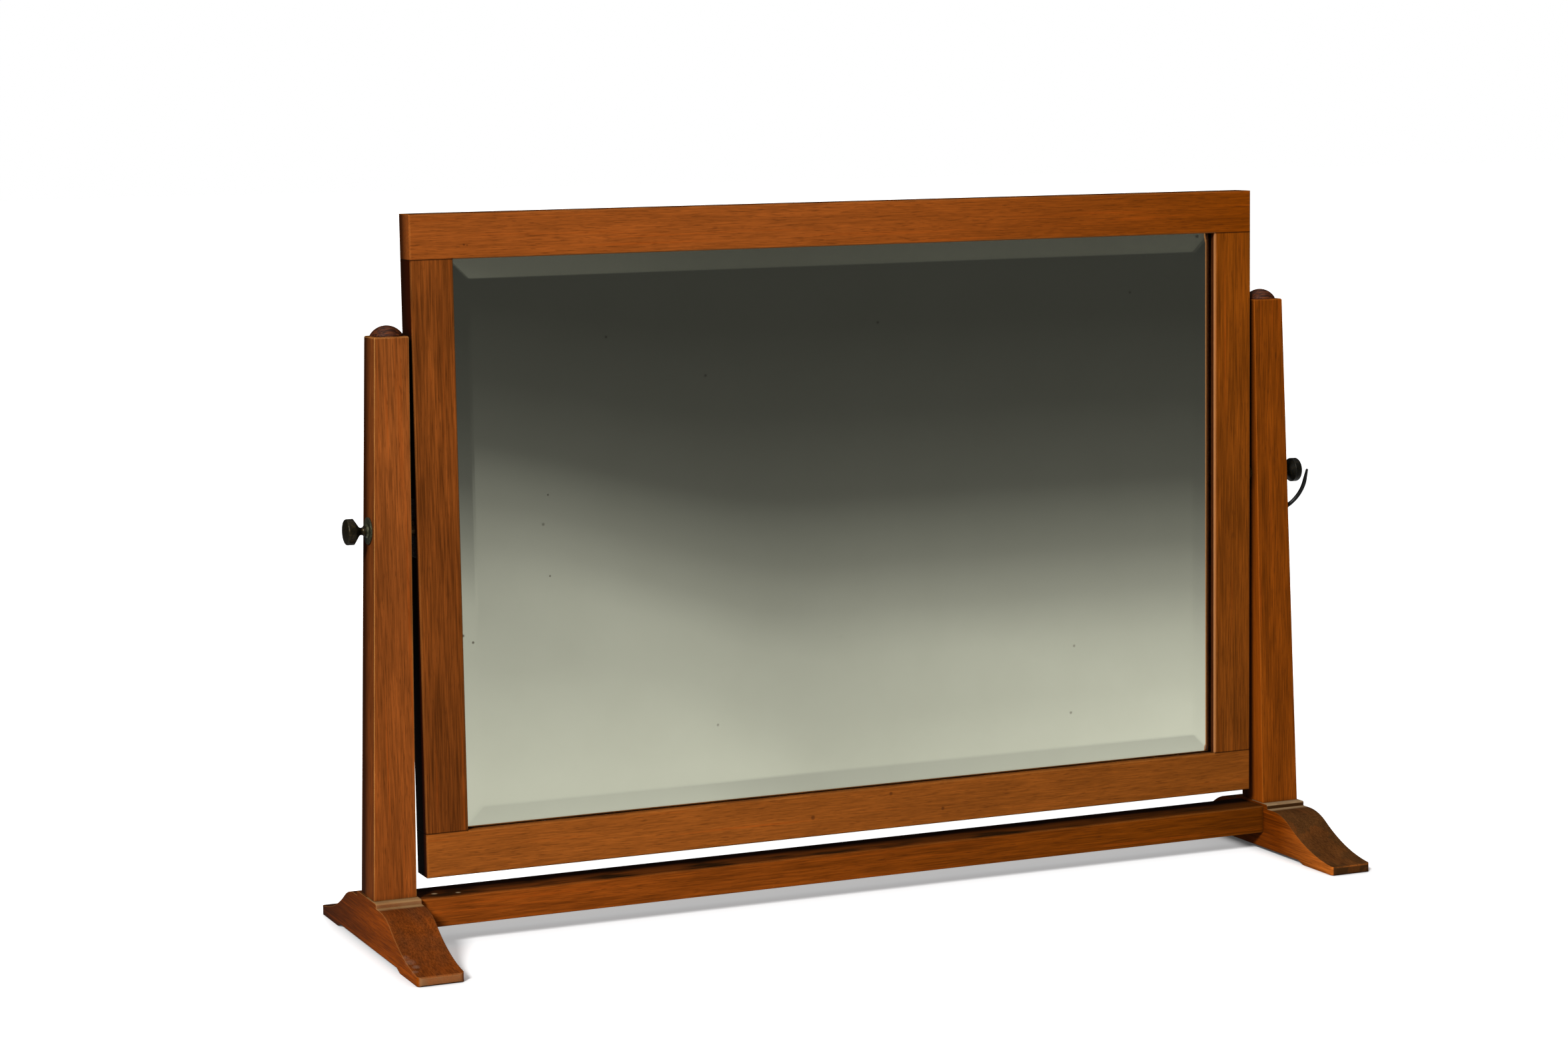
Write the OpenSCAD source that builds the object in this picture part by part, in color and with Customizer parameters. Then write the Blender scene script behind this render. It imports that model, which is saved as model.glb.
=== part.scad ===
// Dressing table mirror: a bevelled plate in a tenoned frame that swings on two thumb screws between leaning,
// tapered posts on ogee feet. Millimetres, +Z up, front towards -Y, origin on the table under the middle.

/* [Mirror plate] */
// Width of the mirror plate
plate_width = 609.6; // [480:0.1:700]
// Height of the mirror plate
plate_height = 406.4; // [340:0.1:430]
// Thickness of the mirror plate
plate_thickness = 4.2; // [3.6:0.1:6]
// Width of the bevel ground around the plate
bevel_width = 20; // [12:0.5:28]
// How much thinner the plate is at its ground edge
bevel_drop = 1.6; // [1.2:0.1:3]

/* [Mirror frame] */
// Face width of the two upright stiles
stile_width = 30.5; // [28:0.1:40]
// Face width of the top and bottom rails
rail_width = 31; // [28:0.1:40]
// Thickness of the frame from front to back
frame_thickness = 22; // [21:0.1:26]
// Thickness of the lip in front of the plate
lip_thickness = 6.2; // [5.5:0.1:8.5]
// How far the stiles' lip covers the plate
stile_lip = 6.6; // [5:0.1:8]
// How far the rails' lip covers the plate
rail_lip = 5.7; // [5:0.1:8]
// Play around the plate in its rebate
plate_play = 0.4; // [0.2:0.1:0.8]
// Small flat worn on the frame's sharp edges
edge_break = 0.7; // [0.4:0.1:1.2]

/* [Frame joints] */
// Length of the stiles' tenons in the rails
frame_tenon_length = 20; // [12:1:24]
// Width of the stiles' tenons across the stile
frame_tenon_width = 10; // [7:0.5:11]
// Thickness of the stiles' tenons
frame_tenon_thickness = 7; // [5:0.5:8]

/* [Back board] */
// Thickness of the back board, which lies flush in its rebate
board_thickness = 6; // [5:0.1:6.5]
// Width of the ledge that the back board is screwed to
board_ledge = 8; // [7:0.5:8.5]
// Distance between the first and last screw along the long sides, as a share of the board
screw_span = 0.86; // [0.7:0.01:0.92]
// Number of screws along each long side
screws_long = 4; // [3:1:6]
// Number of screws along each short side
screws_short = 2; // [2:1:3]
// Length of the back board screws
screw_length = 14; // [10:1:15]
// Diameter of the back board screws' heads
screw_head = 6; // [5:0.1:6.6]
// Length of the packing blocks behind the plate
block_length = 50; // [30:1:70]
// Width of the packing blocks
block_width = 10; // [7:0.5:14]
// Distance between the two packing blocks of one side, as a share of that side
block_spacing = 0.6; // [0.4:0.05:0.75]

/* [Wood screws] */
// Width of the slots in the heads
slot_width = 0.8; // [0.6:0.1:1.2]
// Depth of the slots in the heads
slot_depth = 0.9; // [0.5:0.1:1.2]
// Turn from one screw's slot to the next
slot_turn = 37; // [0:1:90]
// Diameter of the screws' blunt points
point_diameter = 0.6; // [0.3:0.1:1.2]

/* [Pivot] */
// Height of the frame's lower edge above the stretcher
swing_clearance = 12.7; // [10:0.1:40]
// Height of the pivot above the middle of the frame
pivot_above_middle = 14.4; // [0:0.1:20]
// Diameter of the thumb screws' shanks
shank_diameter = 6; // [5:0.1:6.6]
// Radial play of the shanks in the posts
shank_play = 0.08; // [0.03:0.01:0.1]
// Radial play of the shanks in the pivot plates
thread_play = 0.05; // [0.02:0.01:0.08]
// Length of the shank inside the stile
shank_reach = 16; // [12:0.5:18]
// Diameter of the spacer collars between stile and post
spacer_diameter = 12; // [10:0.5:16]

/* [Pivot plates] */
// Length of the pivot plates let into the stiles' edges
pivot_plate_length = 40; // [36:1:56]
// Width of the pivot plates
pivot_plate_width = 13; // [11.5:0.5:16]
// Thickness of the pivot plates
pivot_plate_thickness = 2.2; // [1.6:0.1:3]
// Diameter of the threaded boss behind the pivot plates
boss_diameter = 10; // [9:0.1:11]
// How far the boss reaches past the end of the shank
boss_spare = 2; // [1:0.5:3]
// Length of the pivot plates' screws
plate_screw_length = 12; // [8:1:14]
// Diameter of the pivot plate screws' heads
plate_screw_head = 6; // [5:0.1:6.6]
// Distance of the pivot plates' screws from the plates' ends
plate_screw_inset = 6; // [4.5:0.5:7]

/* [Thumb screws] */
// Diameter of the thumb screws' heads
knob_diameter = 18; // [14:0.1:22]
// Length of the heads' straight rim along the axis
knob_head_length = 5.6; // [4:0.1:8]
// Height of the heads' crowned end
knob_crown = 0.9; // [0.4:0.1:1.5]
// Radius of the round around the heads' ends
knob_rim = 1.5; // [0.5:0.1:2]
// Angle between the axis and the cone that widens from the waist to the head
knob_cone = 55; // [45:1:60]
// Diameter of the collar before the waist
collar_diameter = 7.8; // [7:0.1:8]
// Distance from the collar's face to the start of the hollow
collar_length = 0.6; // [0.4:0.1:1.5]
// Diameter of the waist
waist_diameter = 5.2; // [4.4:0.1:5.6]
// Radius of the hollow that forms the waist
waist_hollow = 2.2; // [1.8:0.1:2.6]
// Diameter of the roses on the posts
rose_diameter = 18.5; // [13:0.5:20]
// Thickness of the roses
rose_thickness = 1; // [0.6:0.1:1.6]
// Diameter of the loose washers
washer_diameter = 10.4; // [9:0.1:13]
// Thickness of the loose washers
washer_thickness = 1.2; // [0.8:0.1:2]
// How much narrower the washers are on their outer side
washer_taper = 2.4; // [0:0.1:2.4]

/* [Posts] */
// Gap between frame and post at the top of the post
post_gap_top = 2.6; // [2:0.1:6]
// Gap between frame and post at the foot of the post
post_gap_base = 9.4; // [7:0.1:14]
// Width of the posts at the top, seen from the front
post_top_width = 24.2; // [22:0.1:30]
// Width of the posts at the foot, seen from the front
post_base_width = 30.4; // [29:0.1:36]
// Depth of the posts at the top
post_top_depth = 24; // [22:0.1:30]
// Depth of the posts at the foot
post_base_depth = 30; // [28:0.1:36]
// Height of the post tops above the pivot
post_above_pivot = 132.2; // [60:0.1:180]
// Width and depth of the posts' tenons in the feet
post_tenon = 18; // [14:0.5:22]
// Length of the posts' tenons
post_tenon_length = 11.5; // [9:0.1:13]

/* [Finials] */
// Diameter of the finials
finial_diameter = 22.6; // [18:0.1:23]
// Height of the finials
finial_height = 7.2; // [4:0.1:9]
// Height of the straight rim under the finials' domes
finial_rim = 0.8; // [0.4:0.1:1.5]
// Diameter of the finials' spigots
spigot_diameter = 8; // [6:0.5:10]
// Length of the finials' spigots
spigot_length = 12; // [8:1:20]

/* [Feet] */
// Length of the feet from toe to toe
foot_length = 231; // [200:1:260]
// How much wider the feet are than the posts on each side
foot_margin = 1.1; // [0:0.1:2]
// Height of the landing under the posts
landing_height = 36.3; // [35:0.1:42]
// Length of the landing
landing_length = 45.6; // [40:0.1:56]
// Height of the feet's shoulders beside the landing
shoulder_height = 33; // [31:0.1:34.5]
// Length of both shoulders and the landing together
shoulder_length = 62; // [58:0.5:70]
// Radius of the round upper part of the ogee
ogee_round = 45; // [35:1:55]
// How far past the toe the hollow lower part of the ogee would run before it lay level
ogee_runout = 9.5; // [2:0.5:14]
// Height of the toes at their ends
toe_height = 6.4; // [5:0.1:9]
// Small flat worn on the edges of toes and landing
foot_break = 0.8; // [0.4:0.1:1.2]
// Radius of the worn upright corners of the toes
toe_corner = 3.5; // [1:0.1:5]
// Length of the pads that the feet stand on
pad_length = 41; // [30:1:60]
// Height of the relief between the pads
relief_height = 2.4; // [1:0.1:5]
// Length of the ramp from pad to relief
relief_ramp = 7; // [3:0.5:12]

/* [Stretcher] */
// How far the stretcher's top lies below the landings
stretcher_drop = 1.7; // [0.5:0.1:3]
// Height of the stretcher's section
stretcher_height = 20.5; // [18:0.1:22]
// Depth of the stretcher's section from front to back
stretcher_depth = 34; // [26:0.1:40]
// Length of the stretcher's tenons in the feet
stretcher_tenon_length = 18; // [12:1:22]
// Height of the stretcher's tenons
stretcher_tenon_height = 7; // [5:0.5:7.5]
// Depth of the stretcher's tenons from front to back
stretcher_tenon_depth = 22; // [16:1:24]
// Wood left between the stretcher's tenon and the post's
tenon_wall = 1; // [0.8:0.1:2]

/* [Hook] */
// Distance of the hook's shank below the pivot
hook_below_pivot = 29; // [27:0.1:60]
// Distance of the hook's shank in front of the post's middle
hook_forward = 4; // [0:0.5:6]
// Angle by which the hook leans forward, clear of the thumb screw
hook_lean = 21; // [15:1:30]
// Angle at which the hook rises out of the post
hook_rise = 24; // [15:1:35]
// Radius of the hook's bend
hook_bend = 25.4; // [22:0.1:26]
// Thickness of the hook
hook_thickness = 3.2; // [2.4:0.1:3.6]
// Thickness of the hook at its tip
hook_tip = 2; // [1.4:0.1:2.4]
// Length of the hook's tapered end
hook_end = 9; // [6:0.5:14]
// Length of the hook's shank in the post
hook_shank = 12; // [8:1:16]

/* [Fits] */
// Play around the tenons, spigots and wood screws
wood_play = 0.1; // [0.05:0.01:0.2]
// Gap between the parts stacked along the pivot
seat_gap = 0.05; // [0.02:0.01:0.1]

/* [Hidden] */
fine = 64;
coarse = 32;
tiny = 0.01; // overlap of joined bodies
over = 1; // how far a cutter runs past the face that it opens
flare = edge_break + over;

frame_width = plate_width + 2 * (stile_width - stile_lip);
frame_height = plate_height + 2 * (rail_width - rail_lip);
half_w = frame_width / 2;
half_h = frame_height / 2;
stretcher_top = landing_height - stretcher_drop;
frame_z = stretcher_top + swing_clearance + half_h;
pivot_height = frame_z + pivot_above_middle;
post_top_height = pivot_height + post_above_pivot;
hook_height = pivot_height - hook_below_pivot;
front_y = -frame_thickness / 2;
back_y = frame_thickness / 2;
opening_w = frame_width - 2 * stile_width;
opening_h = frame_height - 2 * rail_width;
lip_back_y = front_y + lip_thickness;
board_y = back_y - board_thickness;
// the bevel, not the flat of the plate, bears on the lip's inner edge
bevel_rise = bevel_drop / bevel_width * min(stile_lip, rail_lip);
plate_front_y = lip_back_y - bevel_rise;
plate_back_y = plate_front_y + plate_thickness;
pocket_w = plate_width + 2 * plate_play;
pocket_h = plate_height + 2 * plate_play;
board_w = plate_width + 2 * board_ledge;
board_h = plate_height + 2 * board_ledge;
board_pocket_w = board_w + plate_play;
board_pocket_h = board_h + plate_play;
// the frame's tenons stand in the middle of the wood beside the board
tenon_x = half_w - (half_w - board_pocket_w / 2) / 2;

post_run = post_top_height - landing_height;
inner_top = half_w + post_gap_top;
inner_base = half_w + post_gap_base;
outer_top = inner_top + post_top_width;
outer_base = inner_base + post_base_width;
function along(base, top, z) = base + (top - base) * (z - landing_height) / post_run;
inner_pivot = along(inner_base, inner_top, pivot_height);
outer_pivot = along(outer_base, outer_top, pivot_height);
outer_angle = atan2(outer_base - outer_top, post_run);
inner_angle = atan2(inner_base - inner_top, post_run);
post_middle_top = (inner_top + outer_top) / 2;
post_middle_base = (inner_base + outer_base) / 2;

foot_inner = inner_base - foot_margin;
foot_outer = outer_base + foot_margin;
foot_width = foot_outer - foot_inner;
landing_y = landing_length / 2;
shoulder_y = shoulder_length / 2;
toe_y = foot_length / 2;
pad_y = toe_y - pad_length;
hollow_y = toe_y + ogee_runout;
ogee_run = hollow_y - shoulder_y;
function both_radii(drop) = (ogee_run * ogee_run + drop * drop) / (2 * drop);
// what the hollow still falls past the toe
runout_fall = pow(ogee_runout, 2) / (2 * (both_radii(shoulder_height - toe_height) - ogee_round));
hollow_z = toe_height - runout_fall;
ogee_drop = shoulder_height - hollow_z;
ogee_radii = both_radii(ogee_drop);
ogee_hollow = ogee_radii - ogee_round;
turn_y = shoulder_y + ogee_round * ogee_run / ogee_radii;
turn_z = shoulder_height - ogee_round + ogee_round * (ogee_radii - ogee_drop) / ogee_radii;

stretcher_tenon_z = landing_height - post_tenon_length - tenon_wall - stretcher_tenon_height;

// seats along the pivot axis, outward from the post
rose_seat = outer_pivot;
washer_seat = rose_seat + rose_thickness + rose_diameter / 2 * tan(outer_angle) + seat_gap;
knob_seat = washer_seat + washer_thickness + seat_gap;
shank_end = half_w - shank_reach;
boss_end = shank_end - boss_spare;
spacer_length = inner_pivot - half_w - spacer_diameter / 2 * tan(inner_angle) - seat_gap;
shank_bore = shank_diameter + 2 * shank_play;
waist_at = collar_length + waist_hollow;
hollow_r = waist_diameter / 2 + waist_hollow;
// the cone leaves the hollow at a tangent
cone_r = hollow_r - waist_hollow * cos(knob_cone);
cone_start = waist_at + waist_hollow * sin(knob_cone);
head_start = cone_start + (knob_diameter / 2 - cone_r) / tan(knob_cone);
head_end = head_start + knob_head_length;

hook_x = along(outer_base, outer_top, hook_height);
hook_lap = 0.2; // how deep the hook's straight ends reach into its bend

module on_side(right) { mirror([right ? 0 : 1, 0, 0]) children(); }
module along_x(x) { translate([x, 0, 0]) rotate([0, 90, 0]) children(); }
module box(w, d, h, x, y, z) { translate([x - w / 2, y - d / 2, z - h / 2]) cube([w, d, h]); }
module slab(w, y0, y1, h) { translate([-w / 2, y0, -h / 2]) cube([w, y1 - y0, h]); }

// countersunk, slotted wood screw, its head flush at z = 0 and pointing down
module wood_screw(head, length) {
    shank = head / 2;
    sink = (head - shank) / 2;
    difference() {
        union() {
            translate([0, 0, -sink]) cylinder(h = sink, d1 = shank, d2 = head, $fn = coarse);
            translate([0, 0, shank - length]) cylinder(h = length - shank, d = shank, $fn = coarse);
            translate([0, 0, -length])
                cylinder(h = shank + tiny, d1 = point_diameter, d2 = shank, $fn = coarse);
        }
        translate([-head, -slot_width / 2, -slot_depth]) cube([2 * head, slot_width, slot_depth + over]);
    }
}
module screw_hole(head, length) {
    shank = head / 2 + 2 * wood_play;
    top = head + 2 * wood_play;
    sink = (top - shank) / 2;
    translate([0, 0, -sink]) cylinder(h = sink, d1 = shank, d2 = top, $fn = coarse);
    translate([0, 0, -tiny]) cylinder(h = over, d = top, $fn = coarse);
    translate([0, 0, -length - wood_play]) cylinder(h = length, d = shank, $fn = coarse);
}

module at_board_screws() {
    xs = (board_w - board_ledge) / 2;
    zs = (board_h - board_ledge) / 2;
    for (side = [-1, 1]) {
        for (i = [0 : screws_long - 1])
            translate([board_w * screw_span * (i / (screws_long - 1) - 0.5), back_y, side * zs])
                rotate([-90, 0, 0]) rotate([0, 0, slot_turn * (i + side)]) children();
        for (i = [1 : screws_short])
            translate([side * xs, back_y, board_h * (i / (screws_short + 1) - 0.5)])
                rotate([-90, 0, 0]) rotate([0, 0, slot_turn * (2 * i + side)]) children();
    }
}

module at_plate_screws() {
    for (side = [-1, 1])
        translate([half_w, 0, pivot_above_middle + side * (pivot_plate_length / 2 - plate_screw_inset)])
            rotate([0, 90, 0]) rotate([0, 0, slot_turn * side]) children();
}

// extrudes a section that is drawn in x and y, upright or from side to side
module upright(length) { translate([0, 0, -length / 2]) linear_extrude(length) children(); }
module crosswise(length) { rotate([0, 90, 0]) upright(length) children(); }
// extrudes an outline that is drawn in y and z
module sideways(x, length) { translate([x, 0, 0]) rotate([90, 0, 90]) linear_extrude(length) children(); }

// section across the frame, with its front corners broken
module frame_section(w) {
    polygon([[-w / 2, back_y], [-w / 2, front_y + edge_break], [-w / 2 + edge_break, front_y],
             [w / 2 - edge_break, front_y], [w / 2, front_y + edge_break], [w / 2, back_y]]);
}
// section of the opening, flared by the broken edge at its front
module opening_section(w) {
    polygon([[-w / 2, back_y + over], [-w / 2, front_y + edge_break], [-w / 2 - flare, front_y - over],
             [w / 2 + flare, front_y - over], [w / 2, front_y + edge_break], [w / 2, back_y + over]]);
}

// the frame as one ring, which the rails and stiles are taken from
module frame_ring() {
    difference() {
        intersection() {
            upright(frame_height) frame_section(frame_width);
            crosswise(frame_width) frame_section(frame_height);
        }
        intersection() {
            upright(opening_h + 2 * flare) opening_section(opening_w);
            crosswise(opening_w + 2 * flare) opening_section(opening_h);
        }
        slab(pocket_w, lip_back_y, back_y + over, pocket_h);
        slab(board_pocket_w, board_y, back_y + over, board_pocket_h);
        at_board_screws() screw_hole(screw_head, screw_length);
    }
}

module stile_tenon(play) {
    for (side = [-1, 1])
        box(frame_tenon_width + 2 * play, frame_tenon_thickness + 2 * play, frame_tenon_length + play + tiny,
            tenon_x, 0, side * (half_h - rail_width + (frame_tenon_length + play - tiny) / 2));
}

module rail(side) {
    color("peru") translate([0, 0, frame_z]) difference() {
        intersection() {
            frame_ring();
            box(frame_width + over, frame_thickness + over, rail_width + over,
                0, 0, side * (half_h - (rail_width - over) / 2));
        }
        for (right = [true, false]) on_side(right) stile_tenon(wood_play);
    }
}

module stile() {
    translate([0, 0, frame_z]) difference() {
        union() {
            intersection() {
                frame_ring();
                box(stile_width + over, frame_thickness + over, opening_h,
                    half_w - (stile_width - over) / 2, 0, 0);
            }
            stile_tenon(0);
        }
        pivot_plate_body(wood_play, over);
        at_plate_screws() screw_hole(plate_screw_head, plate_screw_length);
    }
}

// the bevelled plate is the common part of two extruded sections, which mitres the bevels
module plate_section(w) {
    flat = w / 2 - bevel_width;
    ground_y = plate_front_y + bevel_drop;
    polygon([[-w / 2, plate_back_y], [-w / 2, ground_y], [-flat, plate_front_y],
             [flat, plate_front_y], [w / 2, ground_y], [w / 2, plate_back_y]]);
}
module mirror_glass() {
    color("lightsteelblue") translate([0, 0, frame_z]) intersection() {
        upright(plate_height) plate_section(plate_width);
        crosswise(plate_width) plate_section(plate_height);
    }
}

module glass_blocks() {
    depth = board_y - plate_back_y;
    y = (board_y + plate_back_y) / 2;
    color("burlywood") translate([0, 0, frame_z])
        for (side = [-1, 1])
            for (place = [-block_spacing / 2, block_spacing / 2]) {
                box(block_length, depth, block_width,
                    place * plate_width, y, side * (plate_height - block_width) / 2);
                box(block_width, depth, block_length,
                    side * (plate_width - block_width) / 2, y, place * plate_height);
            }
}

module back_board() {
    color("tan") translate([0, 0, frame_z]) difference() {
        slab(board_w, board_y, back_y, board_h);
        at_board_screws() screw_hole(screw_head, screw_length);
    }
}

module back_screws() {
    color("goldenrod") translate([0, 0, frame_z]) at_board_screws() wood_screw(screw_head, screw_length);
}

// plate and threaded boss; the recess for them is larger by the play and open at the stile's edge
module pivot_plate_body(play, open) {
    depth = pivot_plate_thickness + play;
    box(depth + open, pivot_plate_width + 2 * play, pivot_plate_length + 2 * play,
        half_w - (depth - open) / 2, 0, pivot_above_middle);
    boss_length = half_w - pivot_plate_thickness / 2 - boss_end + play;
    translate([0, 0, pivot_above_middle]) along_x(boss_end - play)
        cylinder(h = boss_length, d = boss_diameter + 2 * play, $fn = fine);
}
module pivot_plate() {
    translate([0, 0, frame_z]) difference() {
        pivot_plate_body(0, 0);
        translate([0, 0, pivot_above_middle]) along_x(boss_end - over)
            cylinder(h = half_w - boss_end + 2 * over, d = shank_diameter + 2 * thread_play, $fn = fine);
        at_plate_screws() screw_hole(plate_screw_head, plate_screw_length);
    }
}

module plate_screws() {
    color("goldenrod") translate([0, 0, frame_z]) for (right = [true, false]) on_side(right)
        at_plate_screws() wood_screw(plate_screw_head, plate_screw_length);
}

module spacer() {
    translate([0, 0, pivot_height]) along_x(half_w) difference() {
        cylinder(h = spacer_length, d = spacer_diameter, $fn = fine);
        translate([0, 0, -over]) cylinder(h = spacer_length + 2 * over, d = shank_bore, $fn = fine);
    }
}

module washer() {
    translate([0, 0, pivot_height]) along_x(washer_seat) difference() {
        cylinder(h = washer_thickness, d1 = washer_diameter, d2 = washer_diameter - washer_taper, $fn = fine);
        translate([0, 0, -over]) cylinder(h = washer_thickness + 2 * over, d = shank_bore, $fn = fine);
    }
}

// thumb screw: collar, hollow waist, cone, head with a rounded rim and crowned end, and its shank
module knob() {
    r = knob_diameter / 2;
    flat = r - knob_rim;
    rim_start = head_end - knob_rim;
    crown_r = (flat * flat + knob_crown * knob_crown) / (2 * knob_crown);
    color("darkolivegreen") translate([0, 0, pivot_height]) along_x(knob_seat) {
        rotate_extrude($fn = fine) difference() {
            union() {
                polygon([[0, 0], [collar_diameter / 2, 0], [collar_diameter / 2, waist_at], [hollow_r, waist_at],
                         [cone_r, cone_start], [r, head_start], [r, rim_start], [0, rim_start]]);
                translate([0, head_start]) square([flat, knob_head_length]);
                translate([flat, rim_start]) circle(r = knob_rim, $fn = coarse);
                intersection() {
                    translate([0, head_end + knob_crown - crown_r]) circle(r = crown_r, $fn = 180);
                    translate([0, rim_start]) square([flat, knob_rim + knob_crown]);
                }
            }
            translate([hollow_r, waist_at]) circle(r = waist_hollow, $fn = fine);
        }
        translate([0, 0, shank_end - knob_seat])
            cylinder(h = knob_seat - shank_end + over, d = shank_diameter, $fn = fine);
    }
}

// rose lying on the leaning face of the post
module rose() {
    difference() {
        translate([rose_seat, 0, pivot_height]) rotate([0, 90 - outer_angle, 0])
            cylinder(h = rose_thickness, d = rose_diameter, $fn = fine);
        translate([0, 0, pivot_height]) along_x(rose_seat - rose_diameter / 2)
            cylinder(h = rose_diameter, d = shank_bore, $fn = fine);
    }
}

// four-sided taper, as the common part of the front and side outlines, with the top edges eased
module post_body() {
    e = edge_break;
    t = post_top_height;
    b = landing_height;
    base_y = post_base_depth / 2;
    top_y = post_top_depth / 2;
    intersection() {
        rotate([90, 0, 0]) upright(post_base_depth + over)
            polygon([[inner_base, b], [outer_base, b], [outer_top, t - e], [outer_top - e, t],
                     [inner_top + e, t], [inner_top, t - e]]);
        sideways(inner_top - over, outer_base - inner_top + 2 * over)
            polygon([[-base_y, b], [base_y, b], [top_y, t - e], [top_y - e, t],
                     [-top_y + e, t], [-top_y, t - e]]);
    }
}
module post() {
    difference() {
        union() {
            post_body();
            box(post_tenon, post_tenon, post_tenon_length + tiny, post_middle_base, 0,
                landing_height - (post_tenon_length - tiny) / 2);
        }
        translate([0, 0, pivot_height]) along_x(inner_top - over)
            cylinder(h = outer_base - inner_top + 2 * over, d = shank_bore, $fn = fine);
        translate([post_middle_top, 0, post_top_height - spigot_length - wood_play])
            cylinder(h = spigot_length + over, d = spigot_diameter + 2 * wood_play, $fn = fine);
    }
}

module finial() {
    r = finial_diameter / 2;
    cap = finial_height - finial_rim;
    ball = (r * r + cap * cap) / (2 * cap);
    translate([post_middle_top, 0, post_top_height]) {
        cylinder(h = finial_rim, r = r, $fn = fine);
        intersection() {
            translate([0, 0, finial_height - ball]) sphere(r = ball, $fn = 96);
            translate([0, 0, finial_rim - tiny]) cylinder(h = finial_height, r = r, $fn = fine);
        }
        translate([0, 0, -spigot_length]) cylinder(h = spigot_length + tiny, d = spigot_diameter, $fn = fine);
    }
}

// half outline of a foot seen from the side: landing, shoulder, round, hollow, toe, pad and relief
module foot_half() {
    e = foot_break;
    difference() {
        union() {
            polygon([[0, 0], [landing_y, 0], [landing_y, landing_height - e], [landing_y - e, landing_height],
                     [0, landing_height]]);
            square([shoulder_y, shoulder_height]);
            intersection() {
                translate([shoulder_y, shoulder_height - ogee_round]) circle(r = ogee_round, $fn = 180);
                translate([shoulder_y - tiny, 0]) square([turn_y - shoulder_y + tiny, shoulder_height]);
            }
            difference() {
                polygon([[0, 0], [toe_y - e, 0], [toe_y, e], [toe_y, toe_height - e], [toe_y - e, toe_height],
                         [turn_y - tiny, turn_z], [0, turn_z]]);
                translate([hollow_y, hollow_z + ogee_hollow]) circle(r = ogee_hollow, $fn = 360);
            }
        }
        polygon([[-over, -over], [pad_y, -over], [pad_y, 0], [pad_y - relief_ramp, relief_height],
                 [-over, relief_height]]);
    }
}
// a foot seen from above, with its worn corners
module foot_plan() {
    r = toe_corner;
    translate([foot_inner + r, -toe_y]) square([foot_width - 2 * r, foot_length]);
    translate([foot_inner, r - toe_y]) square([foot_width, foot_length - 2 * r]);
    for (x = [foot_inner + r, foot_inner + foot_width - r], y = [r - toe_y, toe_y - r])
        translate([x, y]) circle(r = r, $fn = coarse);
}
module foot() {
    depth = post_tenon_length + wood_play;
    difference() {
        intersection() {
            sideways(foot_inner, foot_width) {
                foot_half();
                mirror([1, 0]) foot_half();
            }
            translate([0, 0, -over]) linear_extrude(landing_height + 2 * over) foot_plan();
        }
        box(post_tenon + 2 * wood_play, post_tenon + 2 * wood_play, depth + over,
            post_middle_base, 0, landing_height - (depth - over) / 2);
        stretcher_tenon(wood_play);
    }
}

module stretcher_tenon(play) {
    box(stretcher_tenon_length + play + tiny, stretcher_tenon_depth + 2 * play,
        stretcher_tenon_height + 2 * play, foot_inner + (stretcher_tenon_length + play - tiny) / 2, 0,
        stretcher_tenon_z + stretcher_tenon_height / 2);
}
module stretcher() {
    d = stretcher_depth / 2;
    t = stretcher_top;
    b = stretcher_top - stretcher_height;
    e = edge_break;
    color("sienna") {
        sideways(-foot_inner, 2 * foot_inner)
            polygon([[-d, b], [d, b], [d, t - e], [d - e, t], [-d + e, t], [-d, t - e]]);
        for (right = [true, false]) on_side(right) stretcher_tenon(0);
    }
}

// the hook's shank runs into the post along the line on which the hook rises out of it
module at_hook() {
    translate([hook_x, -hook_forward, hook_height]) rotate([hook_lean, 0, 0]) children();
}
module hook() {
    r = hook_thickness / 2;
    inner = r - tiny;
    color("black") at_hook() {
        rotate([0, -90 - hook_rise, 0]) translate([0, 0, -hook_lap])
            cylinder(h = hook_shank + hook_lap, r = inner, $fn = coarse);
        translate([-hook_bend * sin(hook_rise), 0, hook_bend * cos(hook_rise)]) {
            rotate([90, 0, 0]) rotate([0, 0, hook_rise - 90])
                rotate_extrude(angle = 90 - hook_rise, $fn = 128)
                    translate([hook_bend, 0]) circle(r = r, $fn = coarse);
            translate([hook_bend, 0, 0]) rotate_extrude($fn = coarse) {
                polygon([[0, -hook_lap], [inner, -hook_lap], [inner, 0], [hook_tip / 2, hook_end],
                         [0, hook_end]]);
                intersection() {
                    translate([0, hook_end]) circle(d = hook_tip, $fn = coarse);
                    square([hook_tip, hook_end + hook_tip]);
                }
            }
        }
    }
}
module hook_hole() {
    at_hook() rotate([0, 90 - hook_rise, 0]) translate([0, 0, -hook_shank - wood_play])
        cylinder(h = hook_shank + hook_thickness, d = hook_thickness + 2 * wood_play, $fn = coarse);
}

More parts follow.
